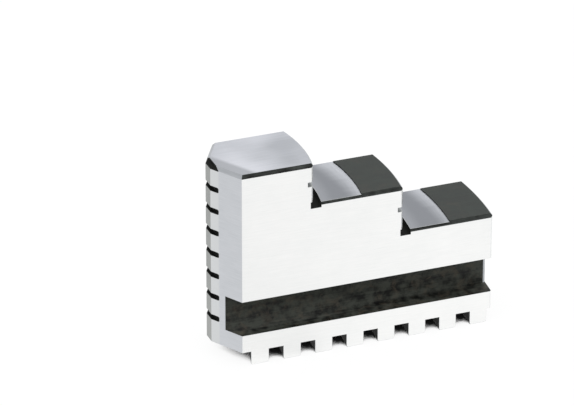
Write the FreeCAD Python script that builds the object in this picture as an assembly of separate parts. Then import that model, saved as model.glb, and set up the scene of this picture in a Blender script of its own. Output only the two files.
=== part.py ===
import FreeCAD
import Part
import math
import os

# One hardened jaw of a three-jaw scroll chuck, cut from a single bar, in millimetres.
# X runs along the jaw, away from the chuck's centre. Y runs across it and Z up.
# It stands on its scroll teeth, with the origin under the middle of its length.

# Across the jaw and along it. Radii are from the chuck's centre line.
bodyWidth = 22.0
noseDistance = 21.8
noseFlatWidth = 3.6
noseAngle = 60.0
highStepRadius = 48.3
middleStepRadius = 73.3
heelRadius = 99.0

# Heights above the tips of the scroll teeth.
toothHeight = 3.9
lowTreadHeight = 32.1
middleTreadHeight = 44.8
topHeight = 56.1

# Guide grooves along both sides, where the jaw slides in the chuck body.
flangeHeight = 5.1
grooveHeight = 10.0
grooveDepth = 5.0
grooveEndChamfer = 0.8

# Scroll teeth. The scroll climbs by one pitch in each turn.
toothPitch = 8.8
toothThickness = 4.8
firstToothRadius = 31.1
toothTipChamfer = 0.35

# Grip grooves across the nose. The highest one is cut off by the top, to its own height.
noseGroovePitch = 6.35
noseGrooveHeight = 1.5
noseGrooveDepth = 1.4
noseGrooveCorner = 0.3
topNotchHeight = 1.05

# Ground seats beside the two risers, a little below the rest of each tread.
seatWidth = 13.5
seatDrop = 0.3

# Relief for the grinding wheel in each inner corner, and a grip groove half way up each riser.
reliefWidth = 2.9
reliefUndercut = 0.6
reliefDepth = 1.3
reliefLift = 0.5
riserGrooveHeight = 1.3
riserGrooveDepth = 1.4

# Broken edges.
treadChamfer = 0.9
treadEndChamfer = 0.4
endChamfer = 0.4

# Room by which a cutting shape runs past the face it opens.
overrun = 5.0

# The chuck's centre line lies left of the nose, so every radius above starts from here.
chuckX = -(noseDistance + heelRadius) / 2
noseX = chuckX + noseDistance
halfWidth = bodyWidth / 2
rootHeight = toothHeight
grooveBottom = rootHeight + flangeHeight


def vector(x, y, z=0.0):
    return FreeCAD.Vector(x, y, z)


def arcX(radius, y):
    """X of the point at y on a circle about the chuck's centre line."""
    return chuckX + math.sqrt(radius ** 2 - y ** 2)


def planCorners(endRadius):
    """Corners of the jaw seen from above, from its near end round the nose to its far end."""
    halfFlat = noseFlatWidth / 2
    cheekX = noseX + (halfWidth - halfFlat) / math.tan(math.radians(noseAngle))
    sideEnd = arcX(endRadius, halfWidth) - endChamfer
    near = [(sideEnd, -halfWidth), (cheekX, -halfWidth), (noseX, -halfFlat)]
    return near + [(x, -y) for x, y in reversed(near)]


def planFace(endRadius):
    """The jaw seen from above. Its end is round about the chuck's centre line."""
    endY = halfWidth - endChamfer
    endX = arcX(endRadius, endY)
    corners = [(endX, -endY)] + planCorners(endRadius) + [(endX, endY)]
    points = [vector(x, y) for x, y in corners]
    edges = [Part.makeLine(a, b) for a, b in zip(points, points[1:])]
    edges.append(Part.Arc(points[-1], vector(chuckX + endRadius, 0), points[0]).toShape())
    return Part.Face(Part.Wire(edges))


def edgeWedge(start, end, height):
    """A long wedge that takes the chamfer off one straight top edge."""
    along = (vector(*end) - vector(*start)).normalize()
    outward = along.cross(vector(0, 0, -1))
    reach = treadChamfer + overrun
    base = vector(*start, height) - along * overrun
    points = [base - outward * reach + vector(0, 0, overrun)]
    points.append(base + outward * overrun + vector(0, 0, overrun))
    points.append(base + outward * overrun - vector(0, 0, reach))
    face = Part.Face(Part.makePolygon(points + points[:1]))
    length = math.dist(start, end) + 2 * overrun
    return face.extrude(along * length)


def endWedge(radius, height):
    """A ring that takes the chamfer off the round top edge at the end of a tread."""
    reach = treadEndChamfer + overrun
    corners = [(radius - reach, height + overrun), (radius + overrun, height + overrun)]
    corners.append((radius + overrun, height - reach))
    return ring(corners, chuckX, 0)


def stepBlock(endRadius, height):
    """One full-length layer of the jaw, from the tooth tips up to its own tread."""
    corners = planCorners(endRadius)
    edges = list(zip(corners, corners[1:]))
    # The short edge across the nose stays sharp: the highest grip groove opens it.
    chamfered = [edge for edge in edges if edge[0][0] != edge[1][0]]
    wedges = [edgeWedge(start, end, height) for start, end in chamfered]
    wedges.append(endWedge(endRadius, height))
    return planFace(endRadius).extrude(vector(0, 0, height)).cut(wedges)


def ring(profile, centreX, centreY):
    """A ring whose section is the given list of radius and height pairs."""
    points = [vector(centreX + r, centreY, z) for r, z in profile]
    face = Part.Face(Part.makePolygon(points + points[:1]))
    return face.revolve(vector(centreX, centreY), vector(0, 0, 1), 360)


def rectangleRing(innerRadius, outerRadius, low, high):
    corners = [(innerRadius, low), (outerRadius, low), (outerRadius, high), (innerRadius, high)]
    return ring(corners, chuckX, 0)


def stepCuts(radius, tread, top):
    """What the grinding of one step removes: its seat, its corner relief and the riser's groove."""
    seat = tread - seatDrop
    reliefStart = radius - reliefUndercut
    riserMiddle = (seat + top) / 2
    grooveLow = riserMiddle - riserGrooveHeight / 2
    grooveHigh = riserMiddle + riserGrooveHeight / 2
    # The seat's cutter starts inside the relief, so that the riser keeps its own surface.
    seatStart = reliefStart + reliefWidth / 2
    seatCut = rectangleRing(seatStart, radius + seatWidth, seat, seat + overrun)
    relief = rectangleRing(reliefStart, reliefStart + reliefWidth, seat - reliefDepth, seat + reliefLift)
    grip = rectangleRing(radius - riserGrooveDepth, radius + overrun, grooveLow, grooveHigh)
    return [seatCut, relief, grip]


def guideGroove(side):
    """The full-length groove in one side, with the web's corner broken where it meets the heel."""
    innerY = halfWidth - grooveDepth
    outerY = halfWidth + overrun
    startX = noseX - overrun
    endX = arcX(heelRadius, innerY)
    flare = grooveEndChamfer + overrun
    corners = [(startX, innerY), (endX - grooveEndChamfer, innerY), (endX + overrun, innerY - flare)]
    corners += [(endX + overrun, outerY), (startX, outerY)]
    points = [vector(x, side * y, grooveBottom) for x, y in corners]
    face = Part.Face(Part.makePolygon(points + points[:1]))
    return face.extrude(vector(0, 0, grooveHeight))


def noseGroove(low):
    """A slot straight across the nose, with round corners at its floor."""
    top = low + noseGrooveHeight
    floorX = noseX + noseGrooveDepth
    bend = noseGrooveCorner * (1 - math.sqrt(0.5))
    p1 = vector(noseX - overrun, 0, low)
    p2 = vector(floorX - noseGrooveCorner, 0, low)
    p3 = vector(floorX - bend, 0, low + bend)
    p4 = vector(floorX, 0, low + noseGrooveCorner)
    p5 = vector(floorX, 0, top - noseGrooveCorner)
    p6 = vector(floorX - bend, 0, top - bend)
    p7 = vector(floorX - noseGrooveCorner, 0, top)
    p8 = vector(noseX - overrun, 0, top)
    edges = [Part.makeLine(p1, p2), Part.Arc(p2, p3, p4).toShape(), Part.makeLine(p4, p5)]
    edges += [Part.Arc(p5, p6, p7).toShape(), Part.makeLine(p7, p8), Part.makeLine(p8, p1)]
    slot = Part.Face(Part.Wire(edges)).extrude(vector(0, bodyWidth, 0))
    slot.translate(vector(0, -halfWidth, 0))
    return slot


def topNotch():
    """The highest grip groove, which runs out through the top of the nose."""
    corner = vector(noseX - overrun, -halfWidth, topHeight - topNotchHeight)
    return Part.makeBox(noseGrooveDepth + overrun, bodyWidth, topNotchHeight + overrun, corner)


def noseGrooves():
    grooves = [topNotch()]
    low = topHeight - topNotchHeight - noseGroovePitch
    while low > rootHeight + noseGrooveHeight:
        grooves.append(noseGroove(low))
        low -= noseGroovePitch
    return grooves


def toothGaps():
    """Gaps between the scroll teeth, and the space in front of the first one.

    A spiral that climbs by one pitch a turn is, over the width of a jaw, a circle whose
    centre stands beside the chuck's centre line by the pitch divided by a full turn.
    """
    centreY = -toothPitch / (2 * math.pi)
    below = -overrun
    clear = [(0, below), (firstToothRadius + toothTipChamfer, below)]
    clear += [(firstToothRadius + toothTipChamfer, 0), (firstToothRadius, toothTipChamfer)]
    clear += [(firstToothRadius, rootHeight), (0, rootHeight)]
    gaps = [ring(clear, chuckX, centreY)]
    inner = firstToothRadius + toothThickness
    width = toothPitch - toothThickness
    while inner < heelRadius:
        outer = inner + width
        flared = [(inner - toothTipChamfer, below), (outer + toothTipChamfer, below)]
        flared += [(outer + toothTipChamfer, 0), (outer, toothTipChamfer), (outer, rootHeight)]
        flared += [(inner, rootHeight), (inner, toothTipChamfer), (inner - toothTipChamfer, 0)]
        gaps.append(ring(flared, chuckX, centreY))
        inner += toothPitch
    return gaps


def makeJaw():
    low = stepBlock(heelRadius, lowTreadHeight)
    middle = stepBlock(middleStepRadius, middleTreadHeight)
    high = stepBlock(highStepRadius, topHeight)
    body = low.fuse([middle, high])
    cuts = stepCuts(highStepRadius, middleTreadHeight, topHeight)
    cuts += stepCuts(middleStepRadius, lowTreadHeight, middleTreadHeight)
    cuts += [guideGroove(-1), guideGroove(1)]
    cuts += noseGrooves()
    cuts += toothGaps()
    body = body.cut(cuts)
    return body.removeSplitter()


os.makedirs("parts", exist_ok=True)
jaw = makeJaw()
solid = jaw.Solids[0]
print("solids", len(jaw.Solids), "valid", jaw.isValid(), "volume cm3", round(jaw.Volume / 1000, 2))
print("box", jaw.BoundBox, "faces", len(jaw.Faces))
solid.exportStep("parts/jaw_body.step")
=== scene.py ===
import bmesh
import bpy
import math
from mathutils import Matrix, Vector


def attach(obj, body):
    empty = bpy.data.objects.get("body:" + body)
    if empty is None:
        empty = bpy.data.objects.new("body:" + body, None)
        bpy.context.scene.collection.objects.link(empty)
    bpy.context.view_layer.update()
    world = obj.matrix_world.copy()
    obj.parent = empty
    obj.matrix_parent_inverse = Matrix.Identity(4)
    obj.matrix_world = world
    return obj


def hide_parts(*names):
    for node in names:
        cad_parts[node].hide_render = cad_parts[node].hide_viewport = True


# A hardened, ground jaw of a three-jaw scroll chuck, standing on its scroll teeth.
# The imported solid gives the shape. This script breaks its edges and gives each face its finish.

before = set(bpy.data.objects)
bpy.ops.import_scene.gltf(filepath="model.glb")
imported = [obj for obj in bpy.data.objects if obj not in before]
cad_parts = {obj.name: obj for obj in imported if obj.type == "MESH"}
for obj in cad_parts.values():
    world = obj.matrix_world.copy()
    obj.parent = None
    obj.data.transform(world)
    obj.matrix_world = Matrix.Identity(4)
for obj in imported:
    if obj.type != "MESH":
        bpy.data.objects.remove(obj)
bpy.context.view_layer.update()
scene = bpy.context.scene
mm = 0.001
print("frame loaded")

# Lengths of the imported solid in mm, which tell its faces apart and place the patterns on them.
# Heights are above the tips of the teeth, and radii are from the chuck's centre line.
jawSizes = {
    "chuckX": -60.4,            # the chuck's centre line
    "noseX": -38.6,
    "noseFlat": 3.6,            # width
    "noseLength": 5.3,
    "noseGroove": 1.4,          # depth
    "cheekAngle": 60,           # degrees
    "halfWidth": 11.0,
    "webHalf": 6.0,             # half the width of the web between the guide grooves
    "toothHeight": 3.9,
    "guideGrooveTop": 19.0,
    "top": 56.1,
    "treads": (44.8, 32.1),
    "seats": (44.5, 31.8),
    "seatWidth": 13.5,
    "risers": (48.3, 73.3),     # radii
    "riserGrooves": (50.3, 38.3),
    "riserGrooveHeight": 1.3,
    "riserGrooveDepth": 1.4,
    "heel": 99.0,               # radius
}


def hexColour(code):
    # sRGB hex to the linear values that the shaders take
    channels = [int(code[i:i + 2], 16) / 255 for i in (0, 2, 4)]
    linear = [c / 12.92 if c <= 0.04045 else ((c + 0.055) / 1.055) ** 2.4 for c in channels]
    return (*linear, 1.0)


def addNode(tree, kind, links=None, **settings):
    # one node with its settings; links maps an input to an output socket or to a plain value
    node = tree.nodes.new(kind)
    for name, value in settings.items():
        setattr(node, name, value)
    for name, value in (links or {}).items():
        if isinstance(value, bpy.types.NodeSocket):
            tree.links.new(value, node.inputs[name])
        else:
            node.inputs[name].default_value = value
    return node


def newMaterial(name):
    material = bpy.data.materials.new(name)
    material.use_nodes = True
    tree = material.node_tree
    tree.nodes.clear()
    return material, tree


def aboutChuck(tree, centred):
    # radius and angle about the chuck's centre line
    split = addNode(tree, "ShaderNodeSeparateXYZ", {0: centred}).outputs
    angle = addNode(tree, "ShaderNodeMath", {0: split["Y"], 1: split["X"]}, operation="ARCTAN2")
    flat = addNode(tree, "ShaderNodeVectorMath", {0: centred, 1: (1, 1, 0)}, operation="MULTIPLY")
    radius = addNode(tree, "ShaderNodeVectorMath", {0: flat.outputs[0]}, operation="LENGTH")
    return radius.outputs["Value"], angle.outputs[0], split["Z"]


def stainPatches(tree, place, look):
    # patches of another shade, where the oxide took unevenly
    patches = addNode(tree, "ShaderNodeTexNoise", {
        "Vector": place, "Scale": 1 / (look["size"] * mm), "Detail": 5, "Roughness": 0.7,
        "Distortion": 0.6})
    chosen = addNode(tree, "ShaderNodeMapRange", {
        "Value": patches.outputs["Fac"], "From Min": look["from"], "From Max": look["full"],
        "To Max": look["amount"]})
    return chosen.outputs[0]


def paintedSeatReflection(tree, radius, angle, look):
    # painted reflection on the wheel's curved marks: darker on the inner part of a seat, less so
    # at its far side, and lighter beside the relief
    firstRiser, nextRiser = jawSizes["risers"]
    beyond = addNode(tree, "ShaderNodeMath", {0: radius, 1: firstRiser * mm},
                     operation="SUBTRACT").outputs[0]
    onSeat = addNode(tree, "ShaderNodeMath", {0: beyond, 1: (nextRiser - firstRiser) * mm},
                     operation="MODULO").outputs[0]
    drifted = addNode(tree, "ShaderNodeMath", {0: beyond, 1: -look["drift"], 2: onSeat},
                      operation="MULTIPLY_ADD")
    slanted = addNode(tree, "ShaderNodeMath", {
        0: angle, 1: look["slant"] * mm, 2: drifted.outputs[0]}, operation="MULTIPLY_ADD")
    streaks = addNode(tree, "ShaderNodeTexNoise", {
        "W": angle, "Scale": look["streaksPerRadian"], "Detail": 3}, noise_dimensions="1D")
    ragged = addNode(tree, "ShaderNodeMath", {
        0: streaks.outputs[0], 1: look["streaks"] * mm, 2: slanted.outputs[0]},
        operation="MULTIPLY_ADD")
    shade = addNode(tree, "ShaderNodeMapRange", {
        "Value": ragged.outputs[0], "From Min": look["start"] * mm, "From Max": look["end"] * mm,
        "To Min": look["amount"], "To Max": 0.0}, interpolation_type="SMOOTHSTEP")
    besideRelief = addNode(tree, "ShaderNodeMapRange", {
        "Value": onSeat, "From Min": look["reliefEdge"] * mm, "From Max": look["fullFrom"] * mm,
        "To Min": look["reliefShare"], "To Max": 1.0}, interpolation_type="SMOOTHSTEP")
    amount = addNode(tree, "ShaderNodeMath", {0: shade.outputs[0], 1: besideRelief.outputs[0]},
                     operation="MULTIPLY")
    return amount.outputs[0]


def paintedCheekShade(tree, place, clouds, look):
    # painted shade: a duller band on the top beside the near cheek, where the edge was blended by
    # hand and rounds away from the light; it is painted beside the near cheek only
    cheekAngle = math.radians(jawSizes["cheekAngle"])
    inward = (math.sin(cheekAngle), math.cos(cheekAngle), 0)
    cheek = jawSizes["noseX"] * inward[0] - jawSizes["noseFlat"] / 2 * inward[1]
    intoMetal = addNode(tree, "ShaderNodeVectorMath", {0: place, 1: inward},
                        operation="DOT_PRODUCT")
    wavy = addNode(tree, "ShaderNodeMath", {
        0: clouds, 1: look["wave"] * mm, 2: intoMetal.outputs["Value"]}, operation="MULTIPLY_ADD")
    edge = cheek + look["width"] + look["wave"] / 2
    onBand = addNode(tree, "ShaderNodeMapRange", {
        "Value": wavy.outputs[0], "From Min": (edge - look["soft"]) * mm,
        "From Max": (edge + look["soft"]) * mm, "To Min": look["amount"], "To Max": 0.0},
        interpolation_type="SMOOTHSTEP")
    return onBand.outputs[0]


def lighterGrooveStrip(tree, centred, look):
    # the part of the nose that its grip grooves cross is lighter
    along = addNode(tree, "ShaderNodeSeparateXYZ", {0: centred}).outputs["X"]
    edge = jawSizes["noseX"] - jawSizes["chuckX"] + jawSizes["noseGroove"]
    inStrip = addNode(tree, "ShaderNodeMapRange", {
        "Value": along, "From Min": (edge - look["soft"]) * mm,
        "From Max": (edge + look["soft"]) * mm, "To Min": 1.0, "To Max": 0.0})
    return inStrip.outputs[0]


# how far each kind of marks is squeezed in each direction: they run where this is small
markStretch = {"rings": (1, 0.02, 1), "level": (0.03, 0.03, 1), "lengthwise": (0.03, 1, 1),
               "even": (1, 1, 1)}
ringRadius = 60     # mm, about that of the seats, at which an angle is turned into a length


def makeSteel(name, look):
    # steel with fine marks in one direction, uneven colour, and marks that also change its gloss
    material, tree = newMaterial(name)
    place = addNode(tree, "ShaderNodeTexCoord").outputs["Object"]
    centred = addNode(tree, "ShaderNodeMapping", {
        "Vector": place, "Location": (-jawSizes["chuckX"] * mm, 0, 0)}).outputs[0]
    markPlace = centred
    if look["marks"] == "rings":
        radius, angle, height = aboutChuck(tree, centred)
        around = addNode(tree, "ShaderNodeMath", {0: angle, 1: ringRadius * mm},
                         operation="MULTIPLY")
        markPlace = addNode(tree, "ShaderNodeCombineXYZ", {
            "X": radius, "Y": around.outputs[0], "Z": height}).outputs[0]
    squeezed = addNode(tree, "ShaderNodeMapping", {
        "Vector": markPlace, "Scale": markStretch[look["marks"]]})
    marks = addNode(tree, "ShaderNodeTexNoise", {
        "Vector": squeezed.outputs[0], "Scale": 1 / (look["markSize"] * mm), "Detail": 4,
        "Roughness": 0.65}).outputs["Fac"]
    clouds = addNode(tree, "ShaderNodeTexNoise", {
        "Vector": place, "Scale": 1 / (look["cloudSize"] * mm), "Detail": look["cloudDetail"],
        "Roughness": 0.6}).outputs["Fac"]
    marksPart = addNode(tree, "ShaderNodeMath", {0: marks, 1: look["markShare"]},
                        operation="MULTIPLY")
    blend = addNode(tree, "ShaderNodeMath", {
        0: clouds, 1: 1 - look["markShare"], 2: marksPart.outputs[0]},
        operation="MULTIPLY_ADD").outputs[0]
    uneven = addNode(tree, "ShaderNodeMapRange", {
        "Value": blend, "From Min": 0.5 - look["span"], "From Max": 0.5 + look["span"]})
    # each layer is an amount and the colour that it lays over those below
    firstTone, secondTone = look["tones"]
    layers = [(uneven.outputs[0], secondTone)]
    if "stain" in look:
        layers.append((stainPatches(tree, place, look["stain"]), look["stain"]["code"]))
    # the seats' layer is painted reflection
    if "inner" in look:
        layers.append((paintedSeatReflection(tree, radius, angle, look["inner"]), look["inner"]["code"]))
    # the band beside the near cheek is painted shade
    if "cheekBand" in look:
        band = look["cheekBand"]
        layers.append((paintedCheekShade(tree, place, clouds, band), band["code"]))
    if "strip" in look:
        layers.append((lighterGrooveStrip(tree, centred, look["strip"]), look["strip"]["code"]))
    colour = hexColour(firstTone)
    for amount, code in layers:
        mix = addNode(tree, "ShaderNodeMix", {0: amount, 6: colour, 7: hexColour(code)},
                      data_type="RGBA")
        colour = mix.outputs[2]
    gloss = addNode(tree, "ShaderNodeMapRange", {
        "Value": blend, "From Min": 0.3, "From Max": 0.7,
        "To Min": look["roughness"][0], "To Max": look["roughness"][1]})
    bump = addNode(tree, "ShaderNodeBump", {"Height": marks, "Strength": 1.0,
                                            "Distance": look["bump"] * mm})
    shader = addNode(tree, "ShaderNodeBsdfPrincipled", {
        "Base Color": colour, "Roughness": gloss.outputs[0], "Normal": bump.outputs[0],
        "Metallic": look["metallic"], "Specular IOR Level": look["specular"]})
    addNode(tree, "ShaderNodeOutputMaterial", {"Surface": shader.outputs[0]})
    return material


# Sizes and bumps are in mm. Grinding leaves marks of some 0.03 mm and milling of some 0.15 mm.
# Both are too fine to show, so ground marks are drawn six to fourteen times as coarse, and
# milled ones five to seven times.
# Ground steel is a bright metal with a satin gloss. Black oxide is a thin oiled skin on the
# steel, which hides the metal and leaves a soft, dark surface.
ground = {"metallic": 1.0, "specular": 0.5, "cloudSize": 14, "cloudDetail": 4,
          "markShare": 0.55, "span": 0.14, "bump": 0.003}
oxide = {"metallic": 0.0, "specular": 0.3, "cloudSize": 3.8, "cloudDetail": 4,
         "markShare": 0.4, "span": 0.12, "bump": 0.01}

# The ground faces are one steel; their greys differ with the way each face turns to the light,
# which is painted into their tones.
finishes = {
    # both sides and the risers: ground in straight passes, with faint level lines; their
    # near-white, the brightest of the ground faces, is painted light
    "ground_side_steel": {
        **ground, "tones": ("F0F1F0", "F9F9F8"), "marks": "level", "markSize": 0.19,
        "roughness": (0.30, 0.42)},
    # the top: ground along the jaw; its silky grey, darker than the sides, is painted light, and a
    # band of painted shade lies beside the near cheek where the edge was blended by hand
    "ground_top_steel": {
        **ground, "tones": ("D8DAE1", "B4B7BD"), "marks": "lengthwise", "markSize": 0.24,
        "cloudSize": 26, "cloudDetail": 2, "markShare": 0.22, "span": 0.12,
        "roughness": (0.28, 0.4),
        "cheekBand": {"code": "A0A3A8", "amount": 0.75, "width": 3.9, "soft": 0.9, "wave": 1.2}},
    # cheeks of the nose: ground level; their pale grey is painted light, and they are lighter
    # where the grip grooves cross
    "ground_nose_steel": {
        **ground, "tones": ("BDC0C4", "CCCED2"), "marks": "level", "markSize": 0.19,
        "roughness": (0.3, 0.42), "strip": {"code": "CFD1D2", "soft": 0.15}},
    # the narrow flat that grips: ground, and given a flat mid grey that is painted shade
    "worn_nose_steel": {
        **ground, "tones": ("8B8E8C", "A8AAA8"), "marks": "level", "markSize": 0.33,
        "roughness": (0.36, 0.5)},
    # seats: ground on a wheel that turns about the chuck's centre, so their marks are curved;
    # their grey is painted light, and a painted reflection on the marks goes from bright to dark
    # and back
    "ground_seat_steel": {
        **ground, "tones": ("B9BCC2", "CBCED4"), "marks": "rings", "markSize": 0.28,
        "roughness": (0.26, 0.4),
        "inner": {"code": "7D8086", "amount": 0.86, "start": 7.8, "end": jawSizes["seatWidth"],
                  "slant": 9, "drift": 0.05, "streaks": 1.6, "streaksPerRadian": 30,
                  "reliefEdge": 2.3, "fullFrom": 6.5, "reliefShare": 0.72}},
    # narrow chamfers: ground in passing; their grey, duller than what they lie beside, is painted
    # shade
    "ground_chamfer_steel": {
        **ground, "tones": ("A2A5A9", "BABDC1"), "marks": "level", "markSize": 0.24,
        "roughness": (0.35, 0.5)},
    # grip grooves in the risers: cut after the hardening, so bare and a rough grey
    "cut_groove_steel": {
        **ground, "tones": ("A6A9A9", "BEC1C1"), "marks": "level", "markSize": 0.3,
        "roughness": (0.35, 0.5)},
    # outer treads and heel: milled, blackened and oiled, so greenish black with brown stains
    "black_oxide_steel": {
        **oxide, "tones": ("262B28", "393F3B"), "marks": "lengthwise", "markSize": 0.67,
        "roughness": (0.42, 0.62),
        "stain": {"code": "474239", "amount": 0.35, "size": 5.5, "from": 0.5, "full": 0.68}},
    # guide grooves: milled and blackened, and mottled brown by old oil
    "groove_oxide_steel": {
        **oxide, "tones": ("090A08", "4C4F48"), "marks": "lengthwise", "markSize": 1.1,
        "cloudSize": 2.4, "cloudDetail": 6, "span": 0.08, "roughness": (0.45, 0.7),
        "stain": {"code": "5E574B", "amount": 0.65, "size": 3.3, "from": 0.5, "full": 0.68}},
    # the nose's grip grooves and the reliefs: scale that was never ground off, so matt black
    "recess_oxide_steel": {
        **oxide, "specular": 0.12, "tones": ("070807", "161815"), "marks": "even",
        "markSize": 0.67, "roughness": (0.55, 0.75)},
    # flanks and tips of the teeth: milled and blackened, so matt black
    "tooth_oxide_steel": {
        **oxide, "specular": 0.03, "tones": ("0A0B0A", "1B1D1A"), "marks": "even",
        "markSize": 0.67, "roughness": (0.45, 0.65)},
    # long chamfers beside the treads: milled and blackened, and handled to uneven greys
    "chamfer_oxide_steel": {
        **oxide, "specular": 0.2, "tones": ("0C0E0C", "464A47"), "marks": "lengthwise",
        "markSize": 0.71, "cloudSize": 5, "span": 0.1, "roughness": (0.45, 0.62)},
    # edges of ground faces: rubbed bare by handling, so bright
    "bare_edge_steel": {
        **ground, "tones": ("CDD0D2", "EEEFEF"), "marks": "even", "markSize": 0.42,
        "roughness": (0.3, 0.45)},
    # edges between black faces: rubbed too, but still partly black
    "rubbed_edge_steel": {
        **oxide, "tones": ("1C1F1C", "565A55"), "marks": "even", "markSize": 0.71,
        "roughness": (0.4, 0.6)},
}
finishNames = list(finishes)

jawLook = {
    "edgeBreak": 0.14,      # mm, the fine bevel left on every sharp edge
    "edgeSegments": 2,
    "sharpAngle": 25,       # degrees between faces from which an edge counts as sharp
    "shadingAngle": 60,     # degrees from which the shading breaks at an edge
    "mergeWithin": 0.002,   # mm
    "flatWithin": 0.3,      # degrees between triangles that make up one flat face
    "slack": 0.1,           # mm, how far a face may lie from its own height or radius
    "sag": 0.8,             # mm, how far the middle of a curved face may lie inside its radius
    "sideBand": 0.5,        # mm, how near to the side an outer face comes
    # shares of a face's normal along an axis
    "square": 0.95,         # from here it looks along that axis
    "slanted": 0.3,         # from here it is slanted, as a chamfer is
    "longChamfer": 0.6,     # sideways, from here it is a chamfer of a long edge
    "edgeOn": 0.02,         # up to here it lies along that axis
}


def isNear(value, places):
    return any(abs(value - place) < jawLook["slack"] for place in places)


def levelFinish(low):
    # the finish of a level face that looks up, by its height
    if isNear(low, [jawSizes["top"]]):
        return "ground_top_steel"
    if isNear(low, jawSizes["treads"]):
        return "black_oxide_steel"
    return "ground_seat_steel" if isNear(low, jawSizes["seats"]) else "recess_oxide_steel"


def isRiserGroove(height, radius):
    halfHeight = jawSizes["riserGrooveHeight"] / 2 + jawLook["slack"]
    deepest = jawSizes["riserGrooveDepth"] + jawLook["sag"]
    return any(abs(height - middle) < halfHeight and jawLook["slack"] < riser - radius < deepest
               for riser, middle in zip(jawSizes["risers"], jawSizes["riserGrooves"]))


def finishOf(face):
    # the finish of one face of the solid, from where it lies and which way it looks
    forward, sideways, upwards = face.normal.x, abs(face.normal.y), abs(face.normal.z)
    centre = face.calc_center_median() / mm
    reach = max(abs(vert.co.y) for vert in face.verts) / mm
    low = min(vert.co.z for vert in face.verts) / mm
    high = max(vert.co.z for vert in face.verts) / mm
    radius = math.hypot(centre.x - jawSizes["chuckX"], centre.y)
    beyondNose = centre.x - jawSizes["noseX"]
    isOuter = reach > jawSizes["halfWidth"] - jawLook["sideBand"]
    isLevel = upwards > jawLook["square"]
    if sideways > jawLook["square"]:
        return "ground_side_steel" if isOuter else "groove_oxide_steel"
    if high < jawSizes["toothHeight"] + jawLook["slack"]:
        return "tooth_oxide_steel"
    isLow = centre.z < jawSizes["guideGrooveTop"] + jawLook["slack"]
    if isLevel and isLow and abs(centre.y) > jawSizes["webHalf"]:
        return "groove_oxide_steel"
    # the flat of the nose, then its grip grooves, which run straight across, then its cheeks
    if forward < -jawLook["square"] and beyondNose < jawLook["slack"]:
        return "worn_nose_steel"
    if sideways < jawLook["edgeOn"] and beyondNose < jawSizes["noseGroove"] + jawLook["slack"]:
        return "recess_oxide_steel"
    isUpright = upwards < jawLook["edgeOn"]
    if forward < -jawLook["slanted"] and isUpright and beyondNose < jawSizes["noseLength"]:
        return "ground_nose_steel"
    if isRiserGroove(centre.z, radius):
        return "cut_groove_steel"
    if not isLevel and upwards > jawLook["slanted"]:
        isLong = sideways > jawLook["longChamfer"]
        return "chamfer_oxide_steel" if isLong else "ground_chamfer_steel"
    if isLevel and face.normal.z > 0:
        return levelFinish(low)
    # upright chamfers at the heel, of the sides and of the web
    if forward > jawLook["slanted"] and sideways > jawLook["slanted"]:
        return "ground_side_steel" if isOuter else "ground_chamfer_steel"
    if radius > jawSizes["heel"] - jawLook["sag"]:
        return "black_oxide_steel"
    if not isLevel and isNear(radius, jawSizes["risers"]):
        return "ground_side_steel"
    return "recess_oxide_steel"


def stripFinish(strip, strips):
    # a bevelled edge is bare beside ground sides and seats, and partly black between black faces
    beside = {finishNames[face.material_index] for edge in strip.edges
              for face in edge.link_faces if face not in strips}
    if beside & {"ground_side_steel", "ground_seat_steel"}:
        return finishNames.index("bare_edge_steel")
    if beside and all("oxide" in name for name in beside):
        return finishNames.index("rubbed_edge_steel")
    return strip.material_index


def copyJaw(node):
    # a merged copy of the solid's mesh, with each flat face as one polygon and edges bevelled
    mesh = bpy.data.meshes.new("jaw")
    bm = bmesh.new()
    bm.from_mesh(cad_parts[node].data)
    bmesh.ops.remove_doubles(bm, verts=bm.verts, dist=jawLook["mergeWithin"] * mm)
    bmesh.ops.dissolve_limit(bm, angle_limit=math.radians(jawLook["flatWithin"]),
                             verts=bm.verts, edges=bm.edges)
    for face in bm.faces:
        face.material_index = finishNames.index(finishOf(face))
    sharpAngle = math.radians(jawLook["sharpAngle"])
    sharp = [e for e in bm.edges if e.is_convex and e.calc_face_angle() > sharpAngle]
    result = bmesh.ops.bevel(
        bm, geom=sharp, offset=jawLook["edgeBreak"] * mm, offset_type="OFFSET", affect="EDGES",
        segments=jawLook["edgeSegments"], profile=0.5, material=-1, clamp_overlap=True)
    strips = set(result["faces"])
    # all are chosen before any is set, because each is chosen by the faces beside it
    chosen = {strip: stripFinish(strip, strips) for strip in strips}
    for strip, index in chosen.items():
        strip.material_index = index
    print("jaw copied:", len(bm.faces), "faces,", len(sharp), "sharp edges, open edges",
          sum(1 for e in bm.edges if len(e.link_faces) != 2))
    bm.to_mesh(mesh)
    bm.free()
    jaw = bpy.data.objects.new("jaw", mesh)
    scene.collection.objects.link(jaw)
    return jaw


jaw = copyJaw("jaw_body")
for name, look in finishes.items():
    jaw.data.materials.append(makeSteel(name, look))
for polygon in jaw.data.polygons:
    polygon.use_smooth = True
jaw.data.set_sharp_from_angle(angle=math.radians(jawLook["shadingAngle"]))
weighted = jaw.modifiers.new("weighted", "WEIGHTED_NORMAL")
weighted.keep_sharp = True
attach(jaw, "root")
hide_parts("jaw_body")
print("jaw done")

studio = {
    "floorSize": 8.0,           # m
    "floor": "5A5A5A",
    "floorGlow": 0.93,          # the floor's own white, as the camera sees it
    "floorInMirrors": 1.0,      # and as ground steel shows it
    "shade": 8,                 # mm, how far the jaw closes off the floor round it
    "darkest": 0.12,            # share of open sky at which the floor's own white is gone
    "lightest": 0.22,           # share of open sky from which it is whole
    "white": "FFFFFF",
    "sky": "F6F7F8",
    "skyStrength": 0.9,
    "lampAt": (0.35, -0.9, 1.6),    # m
    "lampAim": (0, 0, 0.03),        # m
    "lampSize": 1.6,                # m
    "lampPower": 1.6,               # W
}


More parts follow.
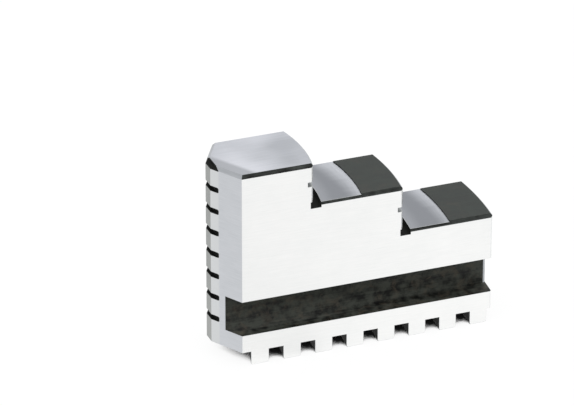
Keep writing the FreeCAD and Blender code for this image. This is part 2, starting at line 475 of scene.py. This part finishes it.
def directRays(tree, path):
    # camera, mirror and glass rays, which see the backdrop as plain white
    mirror = addNode(tree, "ShaderNodeMath", {0: path["Is Camera Ray"], 1: path["Is Glossy Ray"]},
                     operation="MAXIMUM")
    return addNode(tree, "ShaderNodeMath", {0: mirror.outputs[0], 1: path["Is Transmission Ray"]},
                   operation="MAXIMUM").outputs[0]


def floorMaterial():
    material, tree = newMaterial("white_floor")
    white = hexColour(studio["white"])
    path = addNode(tree, "ShaderNodeLightPath").outputs
    diffuse = addNode(tree, "ShaderNodeBsdfDiffuse", {"Color": hexColour(studio["floor"])})
    # the jaw's shadow: the floor's own white fades where the jaw closes it off
    nearby = addNode(tree, "ShaderNodeAmbientOcclusion", {"Distance": studio["shade"] * mm})
    clear = addNode(tree, "ShaderNodeMapRange", {
        "Value": nearby.outputs["AO"], "From Min": studio["darkest"],
        "From Max": studio["lightest"], "To Max": studio["floorGlow"]},
        interpolation_type="SMOOTHSTEP")
    seen = addNode(tree, "ShaderNodeEmission", {"Color": white, "Strength": clear.outputs[0]})
    mirrored = addNode(tree, "ShaderNodeEmission", {"Color": white,
                                                    "Strength": studio["floorInMirrors"]})
    glow = addNode(tree, "ShaderNodeMixShader", {
        0: path["Is Camera Ray"], 1: mirrored.outputs[0], 2: seen.outputs[0]})
    both = addNode(tree, "ShaderNodeAddShader", {0: diffuse.outputs[0], 1: glow.outputs[0]})
    mix = addNode(tree, "ShaderNodeMixShader", {
        0: directRays(tree, path), 1: diffuse.outputs[0], 2: both.outputs[0]})
    addNode(tree, "ShaderNodeOutputMaterial", {"Surface": mix.outputs[0]})
    return material


def makeFloor():
    mesh = bpy.data.meshes.new("floor")
    bm = bmesh.new()
    bmesh.ops.create_grid(bm, x_segments=1, y_segments=1, size=studio["floorSize"] / 2)
    bm.to_mesh(mesh)
    bm.free()
    floor = bpy.data.objects.new("floor", mesh)
    scene.collection.objects.link(floor)
    floor.data.materials.append(floorMaterial())


def makeWorld():
    world = bpy.data.worlds.new("studio")
    world.use_nodes = True
    scene.world = world
    tree = world.node_tree
    tree.nodes.clear()
    path = addNode(tree, "ShaderNodeLightPath").outputs
    soft = addNode(tree, "ShaderNodeBackground", {"Color": hexColour(studio["sky"]),
                                                  "Strength": studio["skyStrength"]})
    white = addNode(tree, "ShaderNodeBackground", {"Color": hexColour(studio["white"]),
                                                   "Strength": 1.0})
    mix = addNode(tree, "ShaderNodeMixShader", {
        0: directRays(tree, path), 1: soft.outputs[0], 2: white.outputs[0]})
    addNode(tree, "ShaderNodeOutputWorld", {"Surface": mix.outputs[0]})


def addLamp():
    data = bpy.data.lights.new("key", "AREA")
    data.shape = "DISK"
    data.size = studio["lampSize"]
    data.energy = studio["lampPower"]
    lamp = bpy.data.objects.new("key", data)
    lamp.location = studio["lampAt"]
    towards = Vector(studio["lampAim"]) - Vector(studio["lampAt"])
    lamp.rotation_euler = towards.to_track_quat("-Z", "Y").to_euler()
    scene.collection.objects.link(lamp)


view = {
    "aim": (-15.5, 2.5, 38.8),  # mm
    "azimuth": 20.97,           # degrees, how far the camera stands round towards the nose
    "elevation": 26.98,         # degrees
    "distance": 1302.4,         # mm
    "lens": 309.2,              # mm
    "sensor": 36,               # mm
}


def makeCamera():
    azimuth = math.radians(view["azimuth"])
    elevation = math.radians(view["elevation"])
    away = Vector((-math.sin(azimuth) * math.cos(elevation),
                   -math.cos(azimuth) * math.cos(elevation), math.sin(elevation)))
    data = bpy.data.cameras.new("camera")
    data.lens = view["lens"]
    data.sensor_width = view["sensor"]
    camera = bpy.data.objects.new("camera", data)
    camera.location = (Vector(view["aim"]) + away * view["distance"]) * mm
    camera.rotation_euler = (-away).to_track_quat("-Z", "Y").to_euler()
    scene.collection.objects.link(camera)
    bpy.context.scene.camera = camera


makeFloor()
makeWorld()
addLamp()
makeCamera()
scene.view_settings.view_transform = "Standard"
print("studio done")
